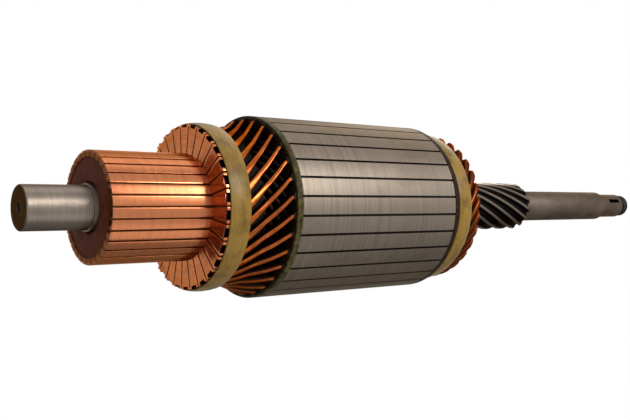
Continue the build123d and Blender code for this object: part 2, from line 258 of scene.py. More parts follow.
class BandSettings(bpy.types.PropertyGroup):
    front_start: length("Commutator band start", FRONT_BAND_START, "Where the commutator band starts")
    front_end: length("Commutator band end", FRONT_BAND_END, "Where the commutator band ends")
    front_inner: length("Commutator band inside", 0.03845, "Inner radius of the commutator band")
    front_edge: length("Commutator band edge", 0.039, "Radius at the edges of the commutator band")
    front_crest: length("Commutator band crest", 0.0396, "Radius at the middle of the commutator band")
    rear_start: length("Drive band start", REAR_BAND_START, "Where the drive band starts")
    rear_end: length("Drive band end", REAR_BAND_END, "Where the drive band ends")
    rear_inner: length("Drive band inside", 0.04077, "Inner radius of the drive band")
    rear_edge: length("Drive band edge", 0.04147, "Radius at the edges of the drive band")
    rear_crest: length("Drive band crest", 0.04197, "Radius at the middle of the drive band")
    edge_round: length("Edge rounding", 0.0003, "Rounding of the edges of the bands")
    sides: count("Sides", 160, "Sides of a band")


class ColourSettings(bpy.types.PropertyGroup):
    steel: colour("Shaft steel", (0.205, 0.170, 0.138), "Ground steel of the shaft")
    drive_steel: colour("Drive steel", (0.120, 0.093, 0.074), "Dull steel of the drive journal")
    # Painted shade: the end face at the commutator end of the shaft is painted in this dark colour.
    shaded_end_steel: colour("Shaded steel", (0.045, 0.033, 0.024), "Dark end face of the shaft")
    dark_steel: colour("Dark steel", (0.035, 0.036, 0.038), "Dark steel of the end button")
    # Painted shade: this near black is put in the spline's grooves, the centre holes and the floor of the
    # slot, and on the ring groove.
    groove: colour("Spline groove", (0.008, 0.007, 0.007), "Shadowed steel in the grooves of the spline")
    core: colour("Core steel", (0.186, 0.153, 0.121), "Turned sheet steel of the core")
    copper: colour("Commutator copper", (0.46, 0.160, 0.070), "Turned copper of the commutator")
    bar_front: colour("Bar fronts", (0.190, 0.072, 0.046), "Dull front of the commutator bars")
    winding: colour("Winding copper", (0.36, 0.085, 0.020), "Varnished copper of the bars")
    # Partly painted shade: this dark colour stands for varnished copper and for the shade in the gaps
    # between the bars, in the bottom layer, in the core's slots and on the end boards under the winding.
    varnish_and_shade: colour("Varnish", (0.018, 0.009, 0.005), "Dark varnish between the bars")
    lead: colour("Lead", (0.045, 0.014, 0.014), "Tarnished top of a lead in its riser")
    nose: colour("Nose", (0.105, 0.027, 0.009), "Varnished copper of the noses")
    band: colour("Band", (0.215, 0.120, 0.018), "Resin and glass fibre of the bands")
    band_light: colour("Band fibre", (0.300, 0.180, 0.034), "Pale fibres of the bands")
    board: colour("Board", (0.062, 0.048, 0.016), "Varnished board at the ends of the core")
    resin: colour("Resin", (0.135, 0.036, 0.018), "Moulded body of the commutator")
    mica: colour("Mica", (0.110, 0.032, 0.006), "Edges of the mica plates")
    paper: colour("Slot paper", (0.012, 0.009, 0.007), "Varnished paper of the slots")


class StageSettings(bpy.types.PropertyGroup):
    camera_place: place("Camera", (-0.1370, -0.3490, -0.0003), "Where the camera stands")
    camera_look: direction("Look", (0.6222, 0.7828, -0.0032), "Direction in which the camera looks")
    camera_up: direction("Up", (0.0052, 0.0, 1.0), "Direction that is up in the picture")
    lens: amount("Lens", 48.7, "Focal length in millimetres, for a picture 36 mm wide", "CAMERA")
    floor: length("Floor", -0.34, "Height of the floor")
    floor_reach: length("Floor reach", 4.0, "Half of the width of the floor")
    floor_shade: amount("Floor shade", 0.5, "Grey of the floor under the armature")
    floor_middle: length("Floor middle", 0.2, "Where along the shaft the grey of the floor is centred")
    white_start: length("White start", 0.62, "Distance from its middle at which the floor turns white")
    white_end: length("White end", 0.80, "Distance from its middle at which the floor is all white")
    fill: amount("Fill", 0.25, "Strength of the light from all sides")
    key: amount("Key", 10.5, "Power of the main softbox on the camera's side", "POWER")
    side: amount("Side", 1.2, "Power of the softbox before the commutator", "POWER")
    top: amount("Top", 2.2, "Power of the softbox overhead", "POWER")
    low: amount("Low", 0.17, "Power of the small softbox below the commutator", "POWER")
    back: amount("Back", 2.0, "Power of the softbox behind the drive end", "POWER")


class Look:
    """A material and the nodes that lead to its shader."""

    def __init__(self, name, **values):
        self.material = bpy.data.materials.new(name)
        self.material.use_nodes = True
        self.tree = self.material.node_tree
        self.shader = self.tree.nodes["Principled BSDF"]
        self.place = self.tree.nodes.new("ShaderNodeTexCoord").outputs["Object"]
        parts = self.node("ShaderNodeSeparateXYZ", self.place)
        self.x, self.y, self.z = parts.outputs
        self.radius = self.distance(self.y, self.z)
        self.set(**values)

    def put(self, socket, value):
        if isinstance(value, bpy.types.NodeSocket):
            self.tree.links.new(value, socket)
        elif hasattr(value, "__len__") and len(socket.default_value) == 4:
            socket.default_value = (*value, 1.0)
        else:
            socket.default_value = value

    def set(self, **values):
        for name, value in values.items():
            self.put(self.shader.inputs[name.replace("_", " ")], value)

    def node(self, kind, *values, **settings):
        made = self.tree.nodes.new(kind)
        for name, value in settings.items():
            setattr(made, name, value)
        for socket, value in zip(made.inputs, values):
            self.put(socket, value)
        return made

    def math(self, operation, *values):
        return self.node("ShaderNodeMath", *values, operation=operation).outputs[0]

    def distance(self, first, second):
        """Length of the hypotenuse over two lengths."""
        squares = self.math("ADD", self.math("POWER", first, 2.0), self.math("POWER", second, 2.0))
        return self.math("SQRT", squares)

    def ramp(self, value, low, high):
        """0 at one value and 1 at another, smooth between them and level outside."""
        made = self.node("ShaderNodeMapRange", value, low, high, interpolation_type="SMOOTHSTEP")
        return made.outputs[0]

    def between(self, value, low, high, soft):
        """1 between two values, fading to 0 outside them."""
        rise = self.ramp(value, low - soft, low + soft)
        return self.math("MULTIPLY", rise, self.ramp(value, high + soft, high - soft))

    def cloud(self, spot, detail, roughness):
        made = self.node("ShaderNodeTexNoise", spot)
        made.inputs["Scale"].default_value = 1.0
        made.inputs["Detail"].default_value = detail
        made.inputs["Roughness"].default_value = roughness
        return made.outputs[0]

    def noise(self, stretch, detail=3.0, roughness=0.6):
        """Noise with its own scale along each axis, from 0 to 1."""
        spot = self.node("ShaderNodeVectorMath", self.place, stretch, operation="MULTIPLY").outputs[0]
        return self.cloud(spot, detail, roughness)

    def round_noise(self, along, across, around):
        """Noise on the distance along the shaft, the radius and the turn about the shaft."""
        turn = self.math("ARCTAN2", self.z, self.y)
        spot = self.node(
            "ShaderNodeCombineXYZ",
            self.math("MULTIPLY", self.x, along),
            self.math("MULTIPLY", self.radius, across),
            self.math("MULTIPLY", turn, around),
        )
        return self.cloud(spot.outputs[0], 2.0, 0.5)

    def mix(self, factor, low, high):
        made = self.node("ShaderNodeMix", data_type="RGBA")
        self.put(made.inputs[0], factor)
        self.put(made.inputs[6], low)
        self.put(made.inputs[7], high)
        return made.outputs[2]

    def blend(self, factor, low, high):
        made = self.node("ShaderNodeMix", data_type="FLOAT")
        self.put(made.inputs[0], factor)
        self.put(made.inputs[2], low)
        self.put(made.inputs[3], high)
        return made.outputs[0]

    def bump(self, height, distance, strength):
        made = self.node("ShaderNodeBump")
        made.inputs["Strength"].default_value = strength
        made.inputs["Distance"].default_value = distance
        self.put(made.inputs["Height"], height)
        self.put(self.shader.inputs["Normal"], made.outputs[0])


def tint(shade, factor):
    """A colour made lighter or darker by a factor."""
    return tuple(min(1.0, part * factor) for part in shade)


def shaft_look(hues):
    """Ground steel with fine turning marks, and a spline with bright lands and painted shade in its
    grooves.
    """
    size = bpy.context.scene.rotor_shaft
    look = Look("shaft_steel", Metallic=1.0, Specular_Tint=(0.45, 0.39, 0.34))
    marks = look.noise((3500.0, 25.0, 25.0))
    patches = look.noise((60.0, 90.0, 90.0), 4.0)
    steel = look.mix(look.ramp(marks, 0.3, 0.7), tint(hues.steel, 0.78), tint(hues.steel, 1.12))
    steel = look.mix(look.ramp(patches, 0.45, 0.75), steel, tint(hues.steel, 0.7))
    dull = look.mix(look.ramp(patches, 0.3, 0.7), tint(hues.drive_steel, 1.15), tint(hues.drive_steel, 0.8))
    drive = look.ramp(look.x, size.spline_end - 4 * OVERLAP, size.spline_end - OVERLAP)
    steel = look.mix(drive, steel, dull)
    # The end face at the commutator end is painted dark as shade.
    shaded_end = look.ramp(look.x, size.start + 2 * FADE, size.start + FADE)
    steel = look.mix(shaded_end, steel, hues.shaded_end_steel)
    spline = look.between(look.x, size.spline_start - 2 * OVERLAP, size.spline_end - OVERLAP, 3 * FADE)
    steel = look.mix(spline, steel, tint(hues.steel, 0.72))
    button = look.ramp(look.x, size.pilot_end, size.button_start)
    steel = look.mix(button, steel, hues.dark_steel)
    # Painted shade: the spline's grooves, the centre holes and the floor of the slot are painted near
    # black; the ring groove is painted near black too.
    groove = look.ramp(look.radius, size.spline_radius - FADE, size.spline_radius - SHADOW)
    dark = look.math("MULTIPLY", spline, groove)
    pit = look.ramp(look.radius, size.centre_radius + FADE, size.centre_radius - 2 * FADE)
    ring = look.between(look.x, size.pilot_end + FADE, size.button_start - FADE, FADE)
    slot = look.between(look.x, size.slot_start, size.slot_start + size.slot_length, FADE / 2)
    sunk = look.ramp(look.radius, size.pilot_radius - FADE, size.pilot_radius - 2.5 * FADE)
    for hollow in (pit, ring, look.math("MULTIPLY", slot, sunk)):
        dark = look.math("MAXIMUM", dark, hollow)
    look.set(
        Base_Color=look.mix(dark, steel, hues.groove),
        Roughness=look.blend(look.math("MAXIMUM", dark, drive), look.blend(marks, 0.28, 0.42), 0.5),
    )
    look.bump(marks, 0.00002, 0.5)
    return look.material


def core_look(hues):
    """Turned sheet steel with fine lines round it, faint stains and slots painted dark as shade."""
    radius = bpy.context.scene.rotor_core.radius
    look = Look("core_steel", Metallic=1.0, Specular_Tint=(0.62, 0.54, 0.46))
    marks = look.noise((2600.0, 14.0, 14.0), 4.0, 0.7)
    stains = look.noise((35.0, 60.0, 60.0), 4.0)
    steel = look.mix(look.ramp(marks, 0.28, 0.72), tint(hues.core, 0.72), tint(hues.core, 1.2))
    steel = look.mix(look.ramp(stains, 0.5, 0.8), steel, tint(hues.core, 0.75))
    # Painted shade: below the outer surface the slots turn dark.
    slot = look.ramp(look.radius, radius - FADE, radius - SHADOW)
    look.set(
        Base_Color=look.mix(slot, steel, hues.varnish_and_shade),
        Roughness=look.blend(marks, 0.36, 0.5),
    )
    look.bump(marks, 0.00003, 0.6)
    return look.material


def turned_copper(look, hues):
    """Colour, roughness and grain of copper turned round the brush track and across the risers."""
    brush_radius = bpy.context.scene.rotor_commutator.brush_radius
    marks = look.noise((3200.0, 40.0, 40.0), 3.0, 0.65)
    circles = look.round_noise(300.0, 3000.0, 5.0)
    riser = look.ramp(look.radius, brush_radius + 2 * FADE, brush_radius + 4 * FADE)
    grain = look.blend(riser, marks, circles)
    copper = look.mix(look.ramp(grain, 0.3, 0.7), tint(hues.copper, 0.8), tint(hues.copper, 1.12))
    stain = look.noise((50.0, 120.0, 120.0), 4.0)
    copper = look.mix(look.ramp(stain, 0.52, 0.8), copper, tint(hues.copper, 0.72))
    return copper, look.blend(grain, 0.2, 0.3), grain


def commutator_look(hues):
    """Turned copper, dull on the front of the bars."""
    size = bpy.context.scene.rotor_commutator
    look = Look("commutator_copper", Metallic=1.0, Specular_Tint=(0.75, 0.55, 0.42))
    copper, roughness, grain = turned_copper(look, hues)
    front = look.ramp(look.x, size.front + 1.5 * FADE, size.front + 0.5 * FADE)
    coated = look.ramp(look.radius, size.brush_radius - 4 * FADE, size.brush_radius - 6.5 * FADE)
    dull = look.mix(coated, hues.bar_front, tint(hues.bar_front, 0.55))
    look.set(Base_Color=look.mix(front, copper, dull), Roughness=roughness)
    look.bump(grain, 0.00003, 0.15)
    return look.material


def winding_look(hues):
    """Copper bars, bright on their outer faces and darkened towards the gaps, partly varnished and partly
    painted shade, and turned at the lead ends.
    """
    size = bpy.context.scene.rotor_winding
    look = Look("winding_copper", Metallic=1.0, Specular_Tint=(0.70, 0.40, 0.25))
    shine = look.node("ShaderNodeAttribute", attribute_name="shine").outputs["Fac"]
    patches = look.noise((260.0, 260.0, 260.0), 4.0)
    copper = look.mix(look.ramp(patches, 0.35, 0.75), hues.winding, tint(hues.winding, 0.6))
    copper = look.mix(look.ramp(look.x, size.slot_back, size.slot_back + NOSE_FADE), copper, hues.nose)
    lead = look.ramp(look.x, size.lead_end + 2 * FADE, size.lead_end - 2 * FADE)
    copper = look.mix(lead, copper, hues.lead)
    # Painted shade: away from a bar's outer face and in the bottom layer, the copper gives way to the dark
    # colour.
    bare_unshaded = look.ramp(look.math("ADD", shine, look.math("MULTIPLY", patches, 0.08)), 0.86, 1.0)
    nose = look.ramp(look.x, size.nose - NOSE_FADE, size.nose)
    shade = look.mix(look.math("MAXIMUM", bare_unshaded, nose), hues.varnish_and_shade, copper)
    gloss = look.blend(bare_unshaded, 0.5, look.blend(patches, 0.2, 0.36))
    lead_end = look.ramp(look.x, size.lead_start + 0.6 * FADE, size.lead_start + 0.2 * FADE)
    turned, turned_gloss, grain = turned_copper(look, hues)
    look.set(
        Base_Color=look.mix(lead_end, shade, turned),
        Roughness=look.blend(lead_end, gloss, turned_gloss),
    )
    look.bump(look.blend(lead_end, patches, look.math("MULTIPLY", grain, 0.11)), 0.0001, 0.4)
    return look.material


def band_look(hues):
    """Resin over glass fibres that run round the band."""
    look = Look("glass_band", Specular_IOR_Level=0.18, Coat_Weight=0.05, Coat_Roughness=0.2)
    fibres = look.noise((2200.0, 40.0, 40.0), 4.0, 0.7)
    patches = look.noise((140.0, 110.0, 110.0), 4.0)
    shade = look.mix(look.ramp(fibres, 0.35, 0.72), hues.band, hues.band_light)
    shade = look.mix(look.ramp(patches, 0.42, 0.7), shade, tint(hues.band, 0.62))
    look.set(Base_Color=shade, Roughness=look.blend(fibres, 0.3, 0.5))
    look.bump(look.math("ADD", fibres, look.math("MULTIPLY", patches, 2.0)), 0.00012, 0.6)
    return look.material


def board_look(name, hues, shade):
    """Varnished board, mottled at the rim and black towards the middle, partly where the winding's
    varnishing ran over it and partly as painted shade under the winding.
    """
    radius = bpy.context.scene.rotor_core.radius
    look = Look(name, Specular_IOR_Level=0.06)
    patches = look.noise((420.0, 420.0, 420.0), 5.0, 0.7)
    mottled = look.mix(look.ramp(patches, 0.36, 0.68), tint(shade, 0.4), tint(shade, 1.6))
    # Painted shade: below the outer rim the board turns black under the winding.
    inside = look.ramp(look.radius, radius - SHADOW, radius - SHADOW - 3 * FADE)
    look.set(
        Base_Color=look.mix(inside, mottled, hues.varnish_and_shade),
        Roughness=look.blend(patches, 0.35, 0.6),
    )
    look.bump(patches, 0.0002, 0.5)
    return look.material


def plain_look(name, shade, roughness, grain, gloss):
    """A dull insulating material with a fine mottle."""
    look = Look(name, Specular_IOR_Level=gloss)
    patches = look.noise((grain, grain, grain), 4.0)
    look.set(
        Base_Color=look.mix(look.ramp(patches, 0.35, 0.7), tint(shade, 0.7), tint(shade, 1.25)),
        Roughness=look.blend(patches, roughness - 0.08, roughness + 0.1),
    )
    look.bump(patches, 0.00005, 0.4)
    return look.material


def raw_mesh(name, points, faces):
    mesh = bpy.data.meshes.new(name)
    mesh.from_pydata(points, [], faces)
    return mesh


def mesh_from(bm, name):
    mesh = bpy.data.meshes.new(name)
    bm.to_mesh(mesh)
    bm.free()
    return mesh


def closed_up(mesh):
    """The mesh with its doubles merged and its faces pointing outwards."""
    bm = bmesh.new()
    bm.from_mesh(mesh)
    bmesh.ops.remove_doubles(bm, verts=bm.verts, dist=1e-7)
    bmesh.ops.recalc_face_normals(bm, faces=bm.faces)
    bm.to_mesh(mesh)
    bm.free()
    return mesh


def joined(name, meshes):
    bm = bmesh.new()
    for mesh in meshes:
        bm.from_mesh(mesh)
        bpy.data.meshes.remove(mesh)
    return mesh_from(bm, name)


def piece(name, mesh, material, slot, *nodes, sharp=32.0):
    """A finished piece that rides on the body and stands for CAD nodes."""
    mesh.materials.clear()
    mesh.materials.append(material)
    mesh.shade_smooth()
    mesh.set_sharp_from_angle(angle=radians(sharp))
    made = bpy.data.objects.new(name, mesh)
    bpy.context.scene.collection.objects.link(made)
    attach(made, BODY)
    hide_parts(*nodes)
    return made


def dress(node, material):
    """The CAD node as it is, with a better material."""
    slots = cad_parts[node].data.materials
    slots.clear()
    slots.append(material)


def eased(points, reach, steps, closed=True):
    """A line of points whose corners are bowed, from a reach before each to a reach after it."""
    points = np.array(points, float)
    line = []
    for i, corner in enumerate(points):
        if not closed and i in (0, len(points) - 1):
            line.append(corner)
            continue
        ends = []
        for other in (points[i - 1], points[(i + 1) % len(points)]):
            gap = np.linalg.norm((other - corner)[:3])
            ends.append(corner + (other - corner) * min(reach / gap, MOST_ROUNDING))
        for t in np.linspace(0.0, 1.0, steps + 1):
            line.append((1 - t) ** 2 * ends[0] + 2 * t * (1 - t) * corner + t**2 * ends[1])
    return line


def mirrored(line):
    """A line of (across, up) points on the other side of straight up, in the order that goes on from it."""
    return [(-y, z) for y, z in line[::-1]]


def about(x, radius, turn):
    """A point at a radius and a turn about the shaft from straight up."""
    return (x, -radius * sin(turn), radius * cos(turn))


def tube(name, rings, skipped=()):
    """Mesh through rings of points, with a cap at each end and without the skipped sides."""
    each = len(rings[0])
    last = (len(rings) - 1) * each
    faces = [tuple(range(each)), tuple(range(last, last + each))]
    for near in range(0, last, each):
        far = near + each
        for j in range(each):
            k = (j + 1) % each
            if j not in skipped:
                faces.append((near + j, near + k, far + k, far + j))
    return raw_mesh(name, [point for ring in rings for point in ring], faces)


def lathe(name, section, sides):
    """A closed (x, radius) section turned about the shaft."""
    each = len(section)
    points = []
    faces = []
    for i in range(sides):
        points += [about(x, radius, 2 * pi * i / sides) for x, radius in section]
        near, far = i * each, (i + 1) % sides * each
        for j in range(each):
            k = (j + 1) % each
            if section[j][1] > 0 or section[k][1] > 0:
                faces.append((near + j, near + k, far + k, far + j))
    return closed_up(raw_mesh(name, points, faces))


def ring_tree():
    """Geometry Nodes tree that turns copies of a mesh about the shaft."""
    tree = bpy.data.node_groups.new("ring_of_copies", "GeometryNodeTree")
    for name, kind in (
        ("Geometry", "Geometry"),
        ("Count", "Int"),
        ("First Angle", "Float"),
        ("Weld", "Float"),
        ("Material", "Material"),
    ):
        tree.interface.new_socket(name, in_out="INPUT", socket_type=f"NodeSocket{kind}")
    tree.interface.new_socket("Geometry", in_out="OUTPUT", socket_type="NodeSocketGeometry")
    add, link = tree.nodes.new, tree.links.new

    def math(operation, first):
        made = add("ShaderNodeMath")
        made.operation = operation
        link(first, made.inputs[0])
        return made

    given = add("NodeGroupInput").outputs
    share = math("DIVIDE", add("GeometryNodeInputIndex").outputs[0])
    link(given["Count"], share.inputs[1])
    step = math("MULTIPLY", share.outputs[0])
    step.inputs[1].default_value = 2 * pi
    turn = math("ADD", step.outputs[0])
    link(given["First Angle"], turn.inputs[1])
    euler = add("ShaderNodeCombineXYZ")
    link(turn.outputs[0], euler.inputs["X"])
    spots = add("GeometryNodePoints")
    link(given["Count"], spots.inputs["Count"])
    copies = add("GeometryNodeInstanceOnPoints")
    link(spots.outputs[0], copies.inputs["Points"])
    link(given["Geometry"], copies.inputs["Instance"])
    link(euler.outputs[0], copies.inputs["Rotation"])
    real = add("GeometryNodeRealizeInstances")
    link(copies.outputs[0], real.inputs[0])
    weld = add("GeometryNodeMergeByDistance")
    link(real.outputs[0], weld.inputs["Geometry"])
    link(given["Weld"], weld.inputs["Distance"])
    paint = add("GeometryNodeSetMaterial")
    link(weld.outputs[0], paint.inputs["Geometry"])
    link(given["Material"], paint.inputs["Material"])
    link(paint.outputs[0], add("NodeGroupOutput").inputs[0])
    return tree


def ring_of(mesh, number, first, material, weld=1e-7):
    """Plain mesh of a ring of copies, made by the Geometry Nodes tree."""
    tree = bpy.data.node_groups.get("ring_of_copies") or ring_tree()
    values = {"Count": number, "First Angle": first, "Weld": weld, "Material": material}
    holder = bpy.data.objects.new("ring_source", mesh)
    modifier = holder.modifiers.new("ring", "NODES")
    modifier.node_group = tree
    for item in tree.interface.items_tree:
        if item.in_out == "INPUT" and item.name in values:
            modifier[item.identifier] = values[item.name]
    bpy.context.scene.collection.objects.link(holder)
    graph = bpy.context.evaluated_depsgraph_get()
    made = bpy.data.meshes.new_from_object(holder.evaluated_get(graph))
    bpy.data.objects.remove(holder)
    bpy.data.meshes.remove(mesh)
    return made


def cut(mesh, cutter):
    """A mesh less another mesh."""
    body = bpy.data.objects.new("cut_body", mesh)
    tool = bpy.data.objects.new("cut_tool", cutter)
    for holder in (body, tool):
        bpy.context.scene.collection.objects.link(holder)
    modifier = body.modifiers.new("cut", "BOOLEAN")
    modifier.operation = "DIFFERENCE"
    modifier.object = tool
    graph = bpy.context.evaluated_depsgraph_get()
    made = bpy.data.meshes.new_from_object(body.evaluated_get(graph))
    for holder, data in ((body, mesh), (tool, cutter)):
        bpy.data.objects.remove(holder)
        bpy.data.meshes.remove(data)
    return made


def spline_mesh(size):
    """Helical spline with rounded teeth, chamfered at the journal end."""
    half_land = size.spline_land / 2 / size.spline_radius
    half_foot = size.spline_foot / 2 / size.spline_root
    profile = (
        (size.spline_root, -half_foot),
        (size.spline_radius, -half_land),
        (size.spline_radius, half_land),
        (size.spline_root, half_foot),
    )
    outline = []
    for tooth in range(size.spline_teeth):
        middle = 2 * pi * tooth / size.spline_teeth
        outline += [(radius * sin(middle + turn), radius * cos(middle + turn)) for radius, turn in profile]
    outline = [(hypot(*point), np.arctan2(*point)) for point in eased(outline, size.tooth_round, 2)]
    chamfer_start = size.spline_end - 2 * size.spline_chamfer
    plain_part = np.linspace(size.spline_start - OVERLAP, chamfer_start, 56)
    chamfered_part = np.linspace(chamfer_start, size.spline_end, 6)[1:]
    rings = []
    for x in (*plain_part, *chamfered_part):
        limit = size.spline_radius - max(0.0, x - chamfer_start) / 2
        turn = size.spline_angle + 2 * pi * (x - size.spline_start) / size.spline_lead
        rings.append([about(x, min(radius, limit), turn + offset) for radius, offset in outline])
    return closed_up(tube("spline", rings))


def slot_cutter(size):
    """Block that cuts the slot of the pilot journal."""
    half = size.slot_width / 2
    floor = size.pilot_radius - size.slot_depth
    top = 2 * size.pilot_radius
    turn = Matrix.Rotation(size.slot_angle, 3, "X")
    rings = []
    for x in (size.slot_start, size.slot_start + size.slot_length):
        corners = ((-half, floor), (half, floor), (half, top), (-half, top))
        rings.append([turn @ Vector((x, y, z)) for y, z in corners])
    return closed_up(tube("slot", rings))


class ROTOR_OT_shaft(bpy.types.Operator):
    """Turn the shaft and cut its helical spline, centres and slot"""

    bl_idname = "rotor.shaft"
    bl_label = "Shaft"

    def execute(self, context):
        size = context.scene.rotor_shaft
        front = [
            (size.start + size.centre_depth, 0.0),
            (size.start, size.centre_radius),
            (size.start, size.journal_radius - size.journal_chamfer),
            (size.start + size.journal_chamfer, size.journal_radius),
            (size.seat_start, size.journal_radius),
            (size.seat_start, size.seat_radius),
            (size.core_seat_start, size.seat_radius),
            (size.core_seat_start, size.core_seat_radius),
            (size.spline_start, size.core_seat_radius),
            (size.spline_start, 0.0),
        ]
        rear = [
            (size.spline_end - OVERLAP, 0.0),
            (size.spline_end - OVERLAP, size.drive_radius),
            (size.drive_end, size.drive_radius),
            (size.pilot_start, size.pilot_radius),
            (size.pilot_end, size.pilot_radius),
            (size.pilot_end, size.groove_radius),
            (size.button_start, size.groove_radius),
            (size.button_start, size.button_radius),
            (size.end - size.button_chamfer, size.button_radius),
            (size.end, size.button_radius - size.button_chamfer),
            (size.end, size.centre_radius),
            (size.end - size.centre_depth, 0.0),
        ]
        front_part = self.turned("front", front, size)
        rear_part = cut(self.turned("rear", rear, size), slot_cutter(size))
        mesh = joined("shaft_turned", [front_part, rear_part, spline_mesh(size)])
        piece("shaft_turned", mesh, shaft_look(context.scene.rotor_colours), "shaft_steel", "shaft")
        return {"FINISHED"}

    def turned(self, name, section, size):
        """A length of the shaft with rounded edges."""
        line = eased(section, size.edge_round, 2)
        line = [(x, radius if radius > AXIS_REACH else 0.0) for x, radius in line]
        return lathe(name, line, size.sides)


def sector_rings(outline, stations, shrink, radius):
    """Rings of one sector along the shaft, smaller at the outer edge of its two end faces."""
    rings = []
    for i, x in enumerate(stations):
        edge = shrink if i in (0, len(stations) - 1) else 0.0
        ring = []
        for y, z in outline:
            far = hypot(y, z)
            scale = (radius - edge) / far if far > radius - 1e-6 else 1.0
            ring.append((x, y * scale, z * scale))
        rings.append(ring)
    return rings


def arc(radius, start, end, steps):
    """Points (across, up) round the shaft from one turn to another."""
    return [(radius * sin(turn), radius * cos(turn)) for turn in np.linspace(start, end, steps + 1)]


def core_sector(size):
    """One slot pitch of the core, open at the two planes where it joins its neighbours."""
    half = pi / size.slots
    right = [
        (size.slot_width / 2, size.slot_bottom),
        (size.slot_width / 2, size.slot_top),
        (size.slot_opening / 2, size.slot_top),
        *arc(size.radius, asin(size.slot_opening / 2 / size.radius), half, 6),
        (size.bore * sin(half), size.bore * cos(half)),
    ]
    stations = (size.front, size.front + size.edge_break, size.back - size.edge_break, size.back)
    rings = sector_rings(right + mirrored(right), stations, size.edge_break, size.radius)
    return tube("core_sector", rings, skipped=(len(right) - 2, len(right)))


def board_sector(size, front):
    """One slot pitch of an end board, with a closed window over the slot."""
    half = pi / size.slots
    wall, low, high = size.slot_width / 2, size.slot_bottom, size.slot_top
    notch = asin(wall / size.radius)
    outer = arc(size.radius, -notch, notch, 4)
    wing = arc(size.radius, notch, half, 4)
    foot = (size.bore * sin(half), size.bore * cos(half))
    hole = [foot, (-foot[0], foot[1])]
    window = [(wall, low), (wall, high), (-wall, high), (-wall, low), (wall, low)]
    rim = mirrored(wing)[:-1] + outer + wing[1:]
    side_cap = wing + [foot, (wall, low), (wall, high)]
    caps = [
        outer + [(wall, high), (-wall, high)],
        side_cap,
        mirrored(side_cap),
        [(-wall, low), (wall, low), *hole],
    ]
    back = front + size.board
    stations = (front, front + size.edge_break, back - size.edge_break, back)
    bm = bmesh.new()
    for line in (rim, window, hole):
        rings = sector_rings(line, stations, size.edge_break, size.radius)
        verts = [[bm.verts.new(point) for point in ring] for ring in rings]
        for near, far in zip(verts, verts[1:]):
            for j in range(len(line) - 1):
                bm.faces.new((near[j], near[j + 1], far[j + 1], far[j]))
    for cap in caps:
        for ring in sector_rings(cap, (front, back), size.edge_break, size.radius):
            bm.faces.new([bm.verts.new(point) for point in ring])
    bmesh.ops.remove_doubles(bm, verts=bm.verts, dist=1e-7)
    return mesh_from(bm, "board_sector")


class ROTOR_OT_core(bpy.types.Operator):
    """Build the slotted core"""

    bl_idname = "rotor.core"
    bl_label = "Core"

    def execute(self, context):
        size = context.scene.rotor_core
        steel = core_look(context.scene.rotor_colours)
        sheets = closed_up(ring_of(core_sector(size), size.slots, size.first_angle, steel, size.weld))
        piece("core_sheets", sheets, steel, "core_steel", "lamination_stack")
        return {"FINISHED"}


class ROTOR_OT_boards(bpy.types.Operator):
    """Build the two end boards of the core"""

    bl_idname = "rotor.boards"
    bl_label = "End Boards"

    def execute(self, context):
        size = context.scene.rotor_core
        hues = context.scene.rotor_colours
        for side, front, shade in (
            ("commutator", size.front - size.board, hues.board),
            # The drive board is painted near black all over, partly varnished and partly as shade under the
            # winding.
            ("drive", size.back, hues.varnish_and_shade),
        ):
            board = board_look(f"end_board_{side}", hues, shade)
            sector = board_sector(size, front)
            ring = closed_up(ring_of(sector, size.slots, size.first_angle, board, size.weld))
            piece(f"end_board_{side}", ring, board, "end_board", f"end_insulator_{side}_side")
        return {"FINISHED"}


def bar_mesh(size):
    """One commutator bar at straight up, with its riser, lead slot and broken edges."""
    half = pi / size.bars
    wall = size.slot_width / 2

    def side_turn(radius):
        return half - asin(size.mica / 2 / radius)

    rim = arc(size.rim_radius, -side_turn(size.rim_radius), side_turn(size.rim_radius), 1)
    brush = arc(size.brush_radius, side_turn(size.brush_radius), -side_turn(size.brush_radius), 6)
    top = arc(size.riser_radius, side_turn(size.riser_radius), asin(wall / size.riser_radius), 2)
    riser_side = [brush[0], *top, (wall, size.slot_floor)]
    upper = riser_side + mirrored(riser_side)
    bm = bmesh.new()
    grown = {}

    def vert(x, point):
        key = (round(x, 7), round(point[0], 7), round(point[1], 7))
        if key not in grown:
            grown[key] = bm.verts.new((x, *point))
        return grown[key]

    def cap(x, line):
        bm.faces.new([vert(x, point) for point in line])

    def wall_between(start, end, line):
        for a, b in zip(line, line[1:] + line[:1]):
            bm.faces.new((vert(start, a), vert(start, b), vert(end, b), vert(end, a)))

    cap(size.front, rim + brush)
    wall_between(size.front, size.riser_face, rim + brush)
    cap(size.riser_face, upper + brush[-2:0:-1])
    wall_between(size.riser_face, size.riser_back, rim + upper)
    cap(size.riser_back, rim + upper)
    bmesh.ops.recalc_face_normals(bm, faces=bm.faces)

    def in_slot(corner):
        return abs(corner.co.y) < wall + 1e-6 and corner.co.z > size.slot_floor - 1e-6

    def broken(edge):
        sharp = len(edge.link_faces) == 2 and edge.calc_face_angle(0.0) > radians(30)
        return sharp and not all(in_slot(corner) for corner in edge.verts)

    bmesh.ops.bevel(
        bm,
        geom=[edge for edge in bm.edges if broken(edge)],
        offset=size.edge_break,
        segments=2,
        profile=0.5,
        affect="EDGES",
        clamp_overlap=True,
    )
    return closed_up(mesh_from(bm, "commutator_bar"))


class ROTOR_OT_bars(bpy.types.Operator):
    """Build the commutator bars"""

    bl_idname = "rotor.bars"
    bl_label = "Commutator Bars"

    def execute(self, context):
        size = context.scene.rotor_commutator
        copper = commutator_look(context.scene.rotor_colours)
        nodes = [f"commutator_segment_{i + 1:02d}" for i in range(size.bars)]
        bars = ring_of(bar_mesh(size), size.bars, size.first_angle, copper)
        piece("commutator_bars", bars, copper, "commutator_copper", *nodes)
        return {"FINISHED"}


